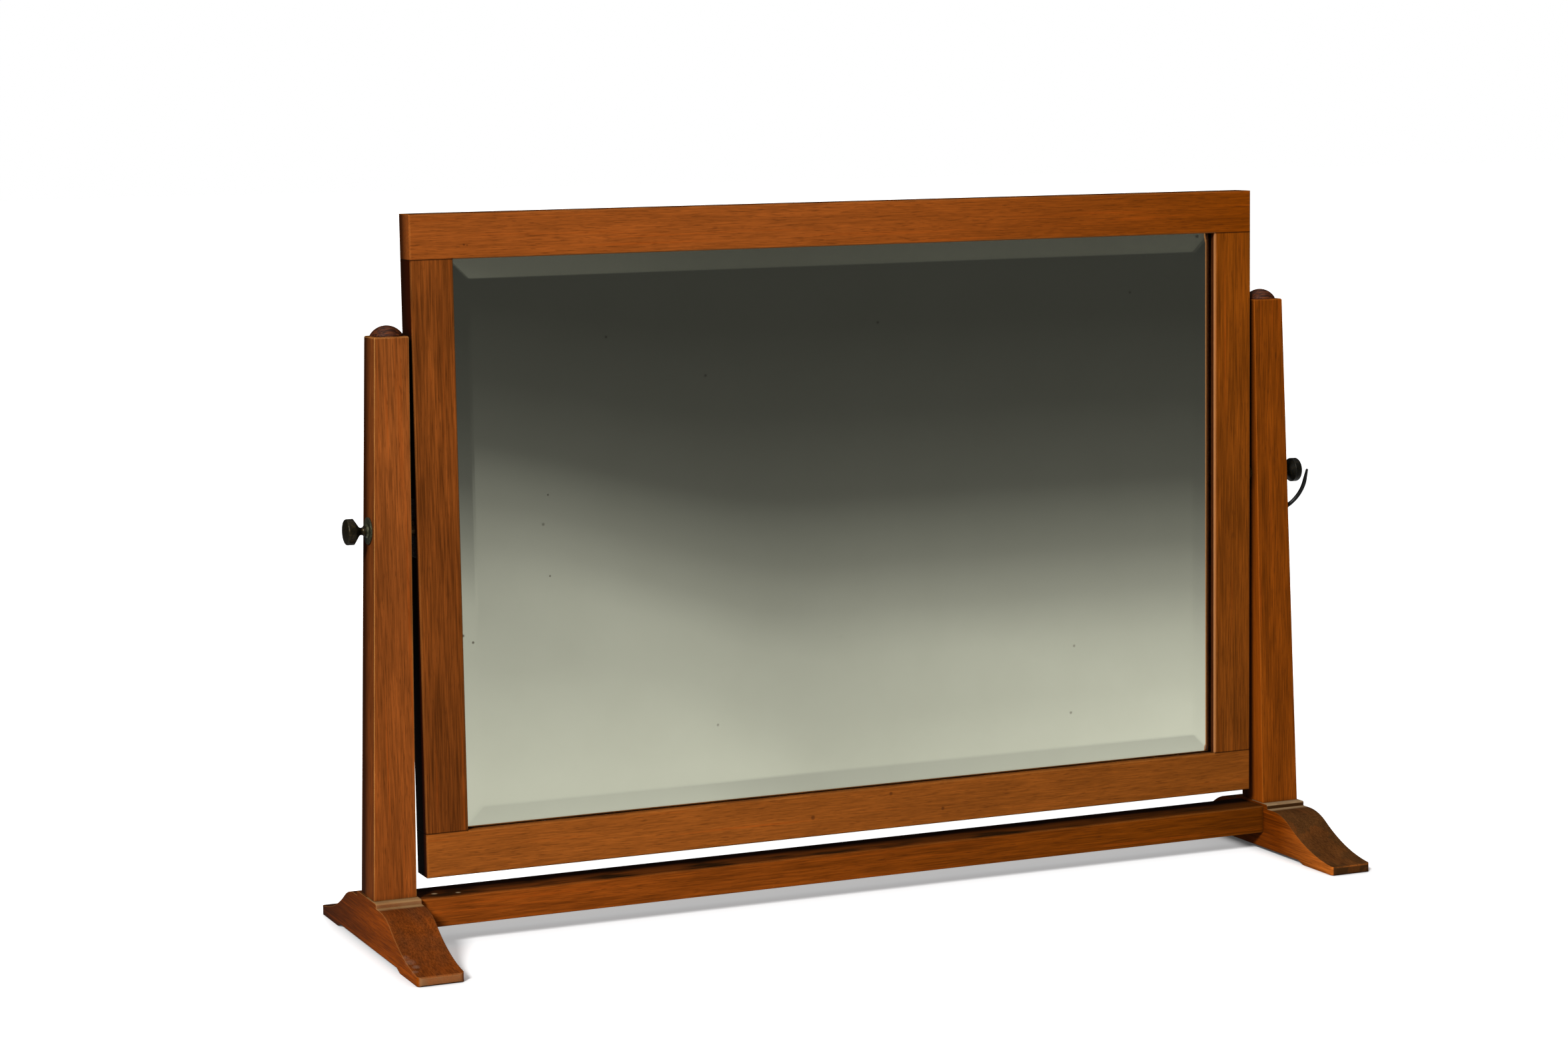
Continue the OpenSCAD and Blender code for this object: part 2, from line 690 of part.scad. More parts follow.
module left_foot() { color("saddlebrown") on_side(false) foot(); }
module right_foot() { color("saddlebrown") on_side(true) foot(); }
module left_post() { color("chocolate") on_side(false) post(); }
module right_post() { color("chocolate") difference() { post(); hook_hole(); } }
module left_finial() { color("maroon") on_side(false) finial(); }
module right_finial() { color("maroon") on_side(true) finial(); }
module left_rose() { color("darkslategray") on_side(false) rose(); }
module right_rose() { color("darkslategray") on_side(true) rose(); }
module top_rail() { rail(1); }
module bottom_rail() { rail(-1); }
module left_stile() { color("burlywood") on_side(false) stile(); }
module right_stile() { color("burlywood") on_side(true) stile(); }
module left_pivot_plate() { color("gold") on_side(false) pivot_plate(); }
module right_pivot_plate() { color("gold") on_side(true) pivot_plate(); }
module left_spacer() { color("gold") on_side(false) spacer(); }
module right_spacer() { color("gold") on_side(true) spacer(); }
module left_washer() { color("darkkhaki") on_side(false) washer(); }
module right_washer() { color("darkkhaki") on_side(true) washer(); }
module left_knob() { on_side(false) knob(); }
module right_knob() { on_side(true) knob(); }

left_foot();
right_foot();
left_post();
right_post();
stretcher();
left_finial();
right_finial();
left_rose();
right_rose();
hook();
top_rail();
bottom_rail();
left_stile();
right_stile();
mirror_glass();
glass_blocks();
back_board();
back_screws();
left_pivot_plate();
right_pivot_plate();
plate_screws();
left_spacer();
right_spacer();
left_washer();
right_washer();
left_knob();
right_knob();
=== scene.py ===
import math

import bmesh
import bpy
from mathutils import Matrix, Vector


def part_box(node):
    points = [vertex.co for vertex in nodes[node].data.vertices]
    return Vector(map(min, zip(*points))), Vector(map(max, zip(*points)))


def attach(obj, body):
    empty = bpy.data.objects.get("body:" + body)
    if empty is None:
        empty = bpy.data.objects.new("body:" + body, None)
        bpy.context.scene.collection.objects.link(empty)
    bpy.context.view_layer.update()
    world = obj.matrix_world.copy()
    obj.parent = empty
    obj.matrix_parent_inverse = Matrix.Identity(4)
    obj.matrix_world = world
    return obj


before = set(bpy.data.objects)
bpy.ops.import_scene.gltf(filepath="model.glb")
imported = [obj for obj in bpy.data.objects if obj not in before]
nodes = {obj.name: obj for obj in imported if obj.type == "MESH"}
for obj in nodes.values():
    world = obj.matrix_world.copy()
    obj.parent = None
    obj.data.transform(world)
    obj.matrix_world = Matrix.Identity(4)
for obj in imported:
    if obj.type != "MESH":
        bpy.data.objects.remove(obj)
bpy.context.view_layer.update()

scene = bpy.context.scene

MM = 0.001
IN_MM = (1000.0, 1000.0, 1000.0)  # turns metres into millimetres
LEFT, RIGHT, DOWN = -1.0, 1.0, -1.0

# the photograph's camera, solved from the object's corners and edges
PHOTO_WIDTH = 2353  # pixels
FOCAL_LENGTH = 5095.9  # pixels
SENSOR_WIDTH = 36.0
CAMERA_PLACE = Vector((-1.01014, -2.21780, 0.57749))
CAMERA_RIGHT = Vector((0.917110, -0.398343, -0.015242))
CAMERA_UP = Vector((0.063154, 0.107434, 0.992204))

# the studio: a sheet of paper and four dark walls around it, which only the mirror and glossy surfaces see
AMBIENT = 0.3  # the studio's own light, against the softbox's
FLOOR_SIZE = 40.0
FLOOR_DROP = 0.2 * MM  # keeps the paper clear of the feet's pads
WALL_HEIGHT = 14.0
WALL_TONE = "#363738"
PAPER_GLOW = 0.34  # how white the paper stays in front of the object, against the backdrop behind it
FADE_LENGTH = 6.0  # from the object to where the paper has gone dark in the mirror
MIRRORED_PAPER = [(0.05, 0.66), (0.11, 0.485), (0.16, 0.40), (0.21, 0.26), (0.27, 0.16), (0.38, 0.074),
                  (0.58, 0.048), (0.95, 0.035)]

# where dust, grime and wear lie on the object, and the painted light and shade on the lip
SHOULDER_EDGE = (-31 * MM, -26 * MM)  # along Y, on the feet in front of the landing
SHOULDER_TOP = (32 * MM, 33 * MM)  # along Z
LIP_DEPTH = (-9.3 * MM, -7.8 * MM)  # along Y, from the lip's pale painted highlight to its painted shade by the glass
RAIL_JOINTS = (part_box("bottom_rail")[1][2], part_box("top_rail")[0][2], -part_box("left_stile")[1][0])
FOXING_CELL = 26.0  # millimetres, one speck at most in each


def colour(code):
    """Linear RGBA of an sRGB hex colour."""
    parts = [int(code[i:i + 2], 16) / 255 for i in (1, 3, 5)]
    return tuple(p / 12.92 if p <= 0.04045 else ((p + 0.055) / 1.055) ** 2.4 for p in parts) + (1.0,)


def add(tree, kind, inputs=None, stops=None, **settings):
    """Adds a shader node with its settings, the stops of its ramp, and its inputs, as values or as links."""
    made = tree.nodes.new("ShaderNode" + kind)
    for name, value in settings.items():
        setattr(made, name, value)
    if stops:
        elements = made.color_ramp.elements
        while len(elements) < len(stops):
            elements.new(1.0)
        for element, (place, value) in zip(elements, stops):
            element.position = place
            element.color = colour(value) if isinstance(value, str) else (value, value, value, 1.0)
    for name, value in (inputs or {}).items():
        if isinstance(value, bpy.types.NodeSocket):
            tree.links.new(value, made.inputs[name])
        else:
            made.inputs[name].default_value = value
    return made


def new_material(name):
    material = bpy.data.materials.new(name)
    material.use_nodes = True
    material.node_tree.nodes.clear()
    return material, material.node_tree


def finish_surface(tree, shader):
    add(tree, "OutputMaterial", {"Surface": shader.outputs[0]})


def dress(material, *names):
    """Gives the material to these CAD nodes."""
    for name in names:
        nodes[name].material_slots[0].material = material


def make_camera():
    """The photograph's view."""
    data = bpy.data.cameras.new("photo_camera")
    data.sensor_fit = "HORIZONTAL"
    data.sensor_width = SENSOR_WIDTH
    data.lens = FOCAL_LENGTH / PHOTO_WIDTH * SENSOR_WIDTH
    data.clip_start = 0.05
    data.clip_end = 60.0
    camera = bpy.data.objects.new("photo_camera", data)
    turn = Matrix((CAMERA_RIGHT, CAMERA_UP, CAMERA_RIGHT.cross(CAMERA_UP))).transposed().to_4x4()
    camera.matrix_world = Matrix.Translation(CAMERA_PLACE) @ turn
    scene.collection.objects.link(camera)
    scene.camera = camera


# turns a board so that its grain runs along X
TURNS = {"x": (0.0, 0.0, 0.0), "y": (0.0, 0.0, -math.pi / 2), "z": (0.0, math.pi / 2, 0.0)}


def streaks(tree, board, length, width, detail=2.0, roughness=0.5, distortion=0.0):
    """Noise drawn out along the grain: each streak is about length by width, in millimetres."""
    scaled = add(tree, "VectorMath", {0: board, 1: (1 / length, 1 / width, 1 / width)},
                 operation="MULTIPLY").outputs[0]
    return add(tree, "TexNoise", {"Vector": scaled, "Scale": 1.0, "Detail": detail, "Roughness": roughness,
                                  "Distortion": distortion}).outputs["Fac"]


def facing(tree, faces, axis, side, most=1.0):
    """How far each face looks to that side of that axis, at most most."""
    turned = add(tree, "Math", {0: faces[axis], 1: side}, operation="MULTIPLY").outputs[0]
    return add(tree, "MapRange", {"Value": turned, "From Min": 0.6, "From Max": 0.9, "To Max": most}).outputs[0]


def arrises(tree, radius, sharp, most=1.0):
    """The normal as if edges were rounded by radius, and how far each point lies on such an edge."""
    normal = add(tree, "NewGeometry").outputs["Normal"]
    rounded = add(tree, "Bevel", {"Radius": radius}, samples=6).outputs[0]
    agreeing = add(tree, "VectorMath", {0: rounded, 1: normal}, operation="DOT_PRODUCT").outputs["Value"]
    edge = add(tree, "MapRange", {"Value": agreeing, "From Min": 0.99, "From Max": sharp, "To Max": most}).outputs[0]
    return rounded, edge


def dust(tree, wood, faces, parts, patchy, dusty):
    """Khaki dust on the toe and the landing's edge, and along the shoulder in front of the landing."""
    amount, tint, at_shoulder, shoulder_tint = dusty
    steep = add(tree, "MapRange", {"Value": faces["Y"], "From Min": -0.6, "From Max": -0.9,
                                   "To Max": amount}).outputs[0]
    steep = add(tree, "Math", {0: steep, 1: patchy}, operation="MULTIPLY").outputs[0]
    wood = add(tree, "Mix", {0: steep, 6: wood, 7: colour(tint)}, data_type="RGBA").outputs[2]
    before = add(tree, "MapRange", {"Value": parts["Y"], "From Min": SHOULDER_EDGE[0], "From Max": SHOULDER_EDGE[1],
                                    "To Max": at_shoulder}).outputs[0]
    front_half = add(tree, "Math", {0: parts["Y"], 1: 0.0}, operation="LESS_THAN").outputs[0]
    high = add(tree, "MapRange", {"Value": parts["Z"], "From Min": SHOULDER_TOP[0],
                                  "From Max": SHOULDER_TOP[1]}).outputs[0]
    level = add(tree, "MapRange", {"Value": faces["Z"], "From Min": 0.5, "From Max": 0.8}).outputs[0]
    for share in (front_half, high, level, patchy):
        before = add(tree, "Math", {0: before, 1: share}, operation="MULTIPLY").outputs[0]
    return add(tree, "Mix", {0: before, 6: wood, 7: colour(shoulder_tint)}, data_type="RGBA").outputs[2]


def lip_light_and_shade(tree, wood, dirt_and_shade, faces, parts, lip):
    """The lip around the plate: a pale painted highlight of light thrown back by the glass, going to painted shade
    where it meets the glass, and spared most of the corner shade.
    """
    inner = facing(tree, faces, *lip)
    rest = add(tree, "MapRange", {"Value": inner, "To Min": 1.0, "To Max": 0.25}).outputs[0]
    dirt_and_shade = add(tree, "Math", {0: dirt_and_shade, 1: rest}, operation="MULTIPLY").outputs[0]
    deep = add(tree, "MapRange", {"Value": parts["Y"], "From Min": LIP_DEPTH[0], "From Max": LIP_DEPTH[1]}).outputs[0]
    # pale painted highlight at the lip's edge, going to painted shade deep by the glass
    clean = add(tree, "Mix", {0: deep, 6: colour("#b07648"), 7: colour("#3c1a08")}, data_type="RGBA").outputs[2]
    return add(tree, "Mix", {0: inner, 6: wood, 7: clean}, data_type="RGBA").outputs[2], dirt_and_shade


def glue_lines(tree, parts):
    """Where rails and stiles meet flush: a band that is never rubbed, and the dark line in its middle."""
    low, high, beside = RAIL_JOINTS
    middle, half = (low + high) / 2, (high - low) / 2
    across = add(tree, "Math", {0: parts["X"]}, operation="ABSOLUTE").outputs[0]
    across = add(tree, "Math", {0: across, 1: beside}, operation="GREATER_THAN").outputs[0]
    off = parts["Z"]
    for level in (middle, half):
        off = add(tree, "Math", {0: off, 1: level}, operation="SUBTRACT").outputs[0]
        off = add(tree, "Math", {0: off}, operation="ABSOLUTE").outputs[0]
    band = add(tree, "MapRange", {"Value": off, "From Min": 1.6 * MM, "From Max": 1.3 * MM}).outputs[0]
    band = add(tree, "Math", {0: band, 1: across}, operation="MULTIPLY").outputs[0]
    line = add(tree, "MapRange", {"Value": off, "From Min": 0.7 * MM, "From Max": 0.15 * MM,
                                  "To Max": 0.75}).outputs[0]
    line = add(tree, "Math", {0: line, 1: across}, operation="MULTIPLY").outputs[0]
    return band, line


def oak(name, grain, seed, ends, fibre, rear, span, worn, figured=1.0, sides=(), soil_and_shade=(0.5, "#2a1a0a"),
        joined=False, lip=None, dusty=None, marks=()):
    """Waxed golden oak, planed and rubbed: a warm brown with fine dark hairs and hardly any shine. grain is the axis
    along which the board was sawn, ends its brown at the low and at the high end of span, partly its own tone and
    partly painted falloff of the light, fibre the length and width of its streaks in millimetres, and rear where its
    sides start and end to darken. worn, soil_and_shade and dusty are the amount and tint of rubbed arrises, of grime
    and painted shade on what faces up and of dust on what slopes to the front. sides give sides their own tint:
    darker outer sides are old wax and painted shade, a brighter inner one is painted light."""
    material, tree = new_material(name)
    where = add(tree, "TexCoord")
    place = where.outputs["Object"]
    faces = add(tree, "SeparateXYZ", {0: where.outputs["Normal"]}).outputs
    parts = add(tree, "SeparateXYZ", {0: place}).outputs
    board = add(tree, "Mapping", {"Vector": place, "Scale": IN_MM, "Rotation": TURNS[grain],
                                  "Location": (seed * 713.0, seed * 37.0, seed * 59.0)}).outputs[0]
    patches = streaks(tree, board, 90.0, 14.0, roughness=0.55)
    rings = streaks(tree, board, 260.0, 4.0, 3.0, 0.55, 0.35)
    fibres = streaks(tree, board, *fibre)
    hairs = streaks(tree, board, 26.0, 0.7, 1.0)
    pores = streaks(tree, board, 9.0, 0.5, 1.0)

    # the board's brown, which changes a little from end to end: partly its own tone, partly painted falloff of the
    # light
    along = add(tree, "MapRange", {"Value": parts[grain.upper()], "From Min": span[0], "From Max": span[1]}).outputs[0]
    wood = add(tree, "Mix", {0: along, 6: colour(ends[0]), 7: colour(ends[1])}, data_type="RGBA").outputs[2]
    # figure of the board: fine hairs and fibres, over faint rings
    figure = add(tree, "Math", {0: rings, 1: 0.2}, operation="MULTIPLY").outputs[0]
    figure = add(tree, "Math", {0: hairs, 1: 0.45, 2: figure}, operation="MULTIPLY_ADD").outputs[0]
    figure = add(tree, "Math", {0: fibres, 1: 0.35, 2: figure}, operation="MULTIPLY_ADD").outputs[0]
    shade = add(tree, "MapRange", {"Value": figure, "From Min": 0.38, "From Max": 0.62,
                                   "To Min": 1.0 - 0.34 * figured, "To Max": 1.0 + 0.34 * figured}).outputs[0]
    patch = add(tree, "MapRange", {"Value": patches, "From Min": 0.36, "From Max": 0.64,
                                   "To Min": 1.0 + 0.14 * figured, "To Max": 1.0 - 0.14 * figured}).outputs[0]
    shade = add(tree, "Math", {0: shade, 1: patch}, operation="MULTIPLY").outputs[0]
    wood = add(tree, "VectorMath", {0: wood, "Scale": shade}, operation="SCALE").outputs[0]
    # a few long orange streaks
    orange = add(tree, "MapRange", {"Value": rings, "From Min": 0.60, "From Max": 0.72, "To Max": 0.35}).outputs[0]
    wood = add(tree, "Mix", {0: orange, 6: wood, 7: colour("#a4480d")}, data_type="RGBA").outputs[2]
    # open pores, drawn a little coarser than the 0.3 mm of real oak so that they show
    pore = add(tree, "MapRange", {"Value": pores, "From Min": 0.40, "From Max": 0.30, "To Max": 0.4}).outputs[0]
    wood = add(tree, "Mix", {0: pore, 6: wood, 7: colour("#3a1a06")}, data_type="RGBA").outputs[2]

    # old polish and dirt on what faces up, in patches, with painted shade that keeps the tops darker than the fronts
    soiling = streaks(tree, board, 40.0, 14.0)
    amount, tint = soil_and_shade
    upward = add(tree, "MapRange", {"Value": faces["Z"], "From Min": 0.35, "From Max": 0.92,
                                    "To Max": amount}).outputs[0]
    patchy = add(tree, "MapRange", {"Value": soiling, "From Min": 0.36, "From Max": 0.56, "To Min": 1.0,
                                    "To Max": 0.62}).outputs[0]
    soiled_and_shaded = add(tree, "Math", {0: upward, 1: patchy}, operation="MULTIPLY").outputs[0]
    grime_and_shade = add(tree, "VectorMath", {0: colour(tint)[:3], "Scale": shade}, operation="SCALE").outputs[0]
    wood = add(tree, "Mix", {0: soiled_and_shaded, 6: wood, 7: grime_and_shade}, data_type="RGBA").outputs[2]
    if dusty:
        wood = dust(tree, wood, faces, parts, patchy, dusty)
    # outer sides painted darker, as old unpolished wax and painted shade; an inner one painted brighter, as painted
    # light
    for side, amount, tint in sides:
        turned = facing(tree, faces, "X", side, amount)
        wood = add(tree, "Mix", {0: turned, 6: wood, 7: colour(tint)}, data_type="RGBA").outputs[2]

    # darker towards the back of the sides, nearly black at the rear
    darker_to_back = add(tree, "MapRange", {"Value": parts["Y"], "From Min": rear[0], "From Max": rear[1],
                                      "To Max": 0.88}).outputs[0]
    front = add(tree, "MapRange", {"Value": faces["Y"], "From Min": -0.6, "From Max": -0.3}).outputs[0]
    # faces that look backwards get less of it
    backs_spared = add(tree, "MapRange", {"Value": faces["Y"], "From Min": 0.5, "From Max": 0.9, "To Min": 1.0,
                                   "To Max": 0.3}).outputs[0]
    for share in (front, backs_spared):
        darker_to_back = add(tree, "Math", {0: darker_to_back, 1: share}, operation="MULTIPLY").outputs[0]
    wood = add(tree, "Mix", {0: darker_to_back, 6: wood, 7: colour("#1c0a03")}, data_type="RGBA").outputs[2]

    # knots, dents and specks, each with its place and radius in millimetres
    for spot, radius, tint, amount in marks:
        centre = tuple(length * MM for length in spot)
        off = add(tree, "VectorMath", {0: place, 1: centre}, operation="DISTANCE").outputs["Value"]
        here = add(tree, "MapRange", {"Value": off, "From Min": radius * MM, "From Max": 0.4 * radius * MM,
                                      "To Max": amount}).outputs[0]
        broken = add(tree, "MapRange", {"Value": hairs, "From Min": 0.3, "From Max": 0.55, "To Min": 0.45}).outputs[0]
        here = add(tree, "Math", {0: here, 1: broken}, operation="MULTIPLY").outputs[0]
        wood = add(tree, "Mix", {0: here, 6: wood, 7: colour(tint)}, data_type="RGBA").outputs[2]

    # dirt and painted shade in the corners and crevices, from ambient occlusion
    corner = add(tree, "AmbientOcclusion", {"Distance": 9 * MM}, samples=8).outputs["AO"]
    dirt_and_shade = add(tree, "MapRange", {"Value": corner, "From Min": 0.66, "From Max": 0.28, "To Max": 0.9}).outputs[0]
    # the lip gets painted light from the glass and painted shade where it meets it
    if lip:
        wood, dirt_and_shade = lip_light_and_shade(tree, wood, dirt_and_shade, faces, parts, lip)

    # arrises rubbed pale, except at the glue lines
    amount, tint = worn
    rounded, edge = arrises(tree, 1.1 * MM, 0.9)
    rubbed = add(tree, "MapRange", {"Value": soiling, "From Min": 0.34, "From Max": 0.52, "To Min": 0.3 * amount,
                                    "To Max": amount}).outputs[0]
    bare = add(tree, "Math", {0: edge, 1: rubbed}, operation="MULTIPLY").outputs[0]
    if joined:
        band, line = glue_lines(tree, parts)
        away = add(tree, "Math", {0: 1.0, 1: band}, operation="SUBTRACT").outputs[0]
        bare = add(tree, "Math", {0: bare, 1: away}, operation="MULTIPLY").outputs[0]
        dirt_and_shade = add(tree, "Math", {0: dirt_and_shade, 1: line}, operation="MAXIMUM").outputs[0]
    wood = add(tree, "Mix", {0: bare, 6: wood, 7: colour(tint)}, data_type="RGBA").outputs[2]
    # dirt and painted shade in the corners, and the dark glue lines
    wood = add(tree, "Mix", {0: dirt_and_shade, 6: wood, 7: colour("#170a03")}, data_type="RGBA").outputs[2]

    rough = add(tree, "MapRange", {"Value": soiled_and_shaded, "To Min": 0.66, "To Max": 0.88}).outputs[0]
    relief = add(tree, "Math", {0: pore, 1: -1.0, 2: fibres}, operation="MULTIPLY_ADD").outputs[0]
    bump = add(tree, "Bump", {"Height": relief, "Strength": 0.3, "Distance": 0.12 * MM, "Normal": rounded})
    finish_surface(tree, add(tree, "BsdfPrincipled", {
        "Base Color": wood, "Roughness": rough, "IOR": 1.48, "Specular IOR Level": 0.02, "Normal": bump.outputs[0]}))
    return material


def dark_wood(name, seed):
    """Turned button, stained and polished dark red-brown, with a soft highlight."""
    material, tree = new_material(name)
    place = add(tree, "TexCoord").outputs["Object"]
    board = add(tree, "Mapping", {"Vector": place, "Scale": (60.0, 900.0, 900.0),
                                  "Location": (seed * 5.0, seed * 3.0, 0.0)}).outputs[0]
    grain = add(tree, "TexNoise", {"Vector": board, "Scale": 1.0, "Detail": 3.0, "Roughness": 0.6}).outputs["Fac"]
    wood = add(tree, "ValToRGB", {"Fac": grain},
               stops=[(0.35, "#1d0c05"), (0.50, "#3b1b0b"), (0.66, "#613013")]).outputs[0]
    # painted shade and dirt in the corners around the button
    corner = add(tree, "AmbientOcclusion", {"Distance": 4 * MM}, samples=6).outputs["AO"]
    dirt_and_shade = add(tree, "MapRange", {"Value": corner, "From Min": 0.8, "From Max": 0.4, "To Max": 0.85}).outputs[0]
    wood = add(tree, "Mix", {0: dirt_and_shade, 6: wood, 7: colour("#140805")}, data_type="RGBA").outputs[2]
    bump = add(tree, "Bump", {"Height": grain, "Strength": 0.2, "Distance": 0.08 * MM})
    finish_surface(tree, add(tree, "BsdfPrincipled", {
        "Base Color": wood, "Roughness": 0.5, "IOR": 1.5, "Specular IOR Level": 0.15, "Normal": bump.outputs[0],
        "Coat Weight": 0.05, "Coat Roughness": 0.25}))
    return material


def pine(name, seed):
    """Bare deal, sawn along X and darkened by age: dull yellow-brown with darker late wood lines."""
    material, tree = new_material(name)
    place = add(tree, "TexCoord").outputs["Object"]
    board = add(tree, "Mapping", {"Vector": place, "Scale": IN_MM,
                                  "Location": (seed * 411.0, seed * 67.0, seed * 29.0)}).outputs[0]
    warp = streaks(tree, board, 420.0, 24.0)
    bands = add(tree, "Math", {0: warp, 1: 60.0}, operation="MULTIPLY").outputs[0]
    bands = add(tree, "Math", {0: bands}, operation="SINE").outputs[0]
    lines = add(tree, "MapRange", {"Value": bands, "From Min": 0.2, "From Max": 1.0}).outputs[0]
    wood = add(tree, "Mix", {0: lines, 6: colour("#9a7042"), 7: colour("#7c5229")}, data_type="RGBA").outputs[2]
    spots = add(tree, "TexNoise", {"Vector": board, "Scale": 0.03, "Detail": 4.0, "Roughness": 0.6}).outputs["Fac"]
    grime = add(tree, "MapRange", {"Value": spots, "From Min": 0.4, "From Max": 0.68, "To Max": 0.45}).outputs[0]
    wood = add(tree, "Mix", {0: grime, 6: wood, 7: colour("#4c3319")}, data_type="RGBA").outputs[2]
    fibre = streaks(tree, board, 16.0, 0.6)
    bump = add(tree, "Bump", {"Height": fibre, "Strength": 0.4, "Distance": 0.15 * MM})
    finish_surface(tree, add(tree, "BsdfPrincipled", {
        "Base Color": wood, "Roughness": 0.72, "IOR": 1.45, "Normal": bump.outputs[0]}))
    return material


def aged_brass(name, tones, clean, seed):
    """Cast and turned brass under a brown-green patina, rubbed a little on its edges: nearly black with a dull gleam.
    tones are the bright, dull and dark one, and clean is how far the edges show the bright one."""
    bright, dull, dark = tones
    material, tree = new_material(name)
    place = add(tree, "TexCoord").outputs["Object"]
    spot = add(tree, "Mapping", {"Vector": place, "Scale": IN_MM, "Location": (seed, 0.0, 0.0)}).outputs[0]
    cloud = add(tree, "TexNoise", {"Vector": spot, "Scale": 0.7, "Detail": 5.0, "Roughness": 0.65}).outputs["Fac"]
    metal = add(tree, "ValToRGB", {"Fac": cloud}, stops=[(0.36, dark), (0.52, dull), (0.70, bright)]).outputs[0]
    rounded, edge = arrises(tree, 0.5 * MM, 0.88, clean)
    metal = add(tree, "Mix", {0: edge, 6: metal, 7: colour(bright)}, data_type="RGBA").outputs[2]
    rough = add(tree, "MapRange", {"Value": cloud, "From Min": 0.3, "From Max": 0.7, "To Min": 0.55,
                                   "To Max": 0.32}).outputs[0]
    bump = add(tree, "Bump", {"Height": cloud, "Strength": 0.3, "Distance": 0.1 * MM, "Normal": rounded})
    finish_surface(tree, add(tree, "BsdfPrincipled", {
        "Base Color": metal, "Metallic": 0.7, "Roughness": rough, "Normal": bump.outputs[0]}))
    return material


def blackened_iron(name):
    """Forged wire, blacked, with a slight shine and brown rust in its pits."""
    material, tree = new_material(name)
    place = add(tree, "TexCoord").outputs["Object"]
    spot = add(tree, "Mapping", {"Vector": place, "Scale": IN_MM}).outputs[0]
    cloud = add(tree, "TexNoise", {"Vector": spot, "Scale": 0.7, "Detail": 4.0, "Roughness": 0.6}).outputs["Fac"]
    metal = add(tree, "ValToRGB", {"Fac": cloud},
                stops=[(0.40, "#080909"), (0.58, "#121312"), (0.72, "#261d14")]).outputs[0]
    bump = add(tree, "Bump", {"Height": cloud, "Strength": 0.5, "Distance": 0.15 * MM})
    finish_surface(tree, add(tree, "BsdfPrincipled", {
        "Base Color": metal, "Metallic": 0.6, "Roughness": 0.42, "Normal": bump.outputs[0]}))
    return material


def plate_glass(name):
    """Ground and polished plate, slightly green, with faint wiping marks."""
    material, tree = new_material(name)
    place = add(tree, "TexCoord").outputs["Object"]
    wipe = add(tree, "Mapping", {"Vector": place, "Scale": (9.0, 9.0, 30.0), "Rotation": (0.0, 0.5, 0.0)}).outputs[0]
    marks = add(tree, "TexNoise", {"Vector": wipe, "Scale": 1.0, "Detail": 5.0, "Roughness": 0.7}).outputs["Fac"]
    rough = add(tree, "MapRange", {"Value": marks, "From Min": 0.45, "From Max": 0.8, "To Min": 0.0,
                                   "To Max": 0.02}).outputs[0]
    # the bevel's arris, rounded a little by polishing, catches a thin pale line
    rounded = add(tree, "Bevel", {"Radius": 0.8 * MM}, samples=4).outputs[0]
    finish_surface(tree, add(tree, "BsdfPrincipled", {
        "Base Color": colour("#f5f8f4"), "Roughness": rough, "IOR": 1.52, "Transmission Weight": 1.0,
        "Normal": rounded}))
    return material


def silvering(name, marks):
    """Old silver on the back of the plate: a little yellow, clouded, with brown foxing and a chip near the edges."""
    material, tree = new_material(name)
    place = add(tree, "TexCoord").outputs["Object"]
    spot = add(tree, "Mapping", {"Vector": place, "Scale": IN_MM}).outputs[0]
    cloud = add(tree, "TexNoise", {"Vector": spot, "Scale": 0.02, "Detail": 3.0, "Roughness": 0.5}).outputs["Fac"]
    haze = add(tree, "MapRange", {"Value": cloud, "From Min": 0.4, "From Max": 0.7, "To Max": 0.25}).outputs[0]
    silver = add(tree, "Mix", {0: haze, 6: colour("#edecd7"), 7: colour("#e2e1cb")}, data_type="RGBA").outputs[2]
    flat = add(tree, "VectorMath", {0: spot, 1: (1.0, 0.0, 1.0)}, operation="MULTIPLY").outputs[0]
    # foxing: about one cell in three has a brown speck of about 1 mm
    cells = add(tree, "TexVoronoi", {"Vector": flat, "Scale": 1 / FOXING_CELL}).outputs
    speck = add(tree, "MapRange", {"Value": cells["Distance"], "From Min": 0.055, "From Max": 0.02,
                                   "To Max": 0.55}).outputs[0]
    chosen = add(tree, "SeparateXYZ", {0: cells["Color"]}).outputs["X"]
    chosen = add(tree, "Math", {0: chosen, 1: 0.65}, operation="GREATER_THAN").outputs[0]
    speck = add(tree, "Math", {0: speck, 1: chosen}, operation="MULTIPLY").outputs[0]
    silver = add(tree, "Mix", {0: speck, 6: silver, 7: colour("#6a5a44")}, data_type="RGBA").outputs[2]
    for (across, up), radius, tint in marks:
        off = add(tree, "VectorMath", {0: flat, 1: (across, 0.0, up)}, operation="DISTANCE").outputs["Value"]
        here = add(tree, "MapRange", {"Value": off, "From Min": radius, "From Max": 0.4 * radius,
                                      "To Max": 0.8}).outputs[0]
        silver = add(tree, "Mix", {0: here, 6: silver, 7: colour(tint)}, data_type="RGBA").outputs[2]
    finish_surface(tree, add(tree, "BsdfPrincipled", {
        "Base Color": silver, "Metallic": 1.0, "Roughness": 0.03}))
    return material


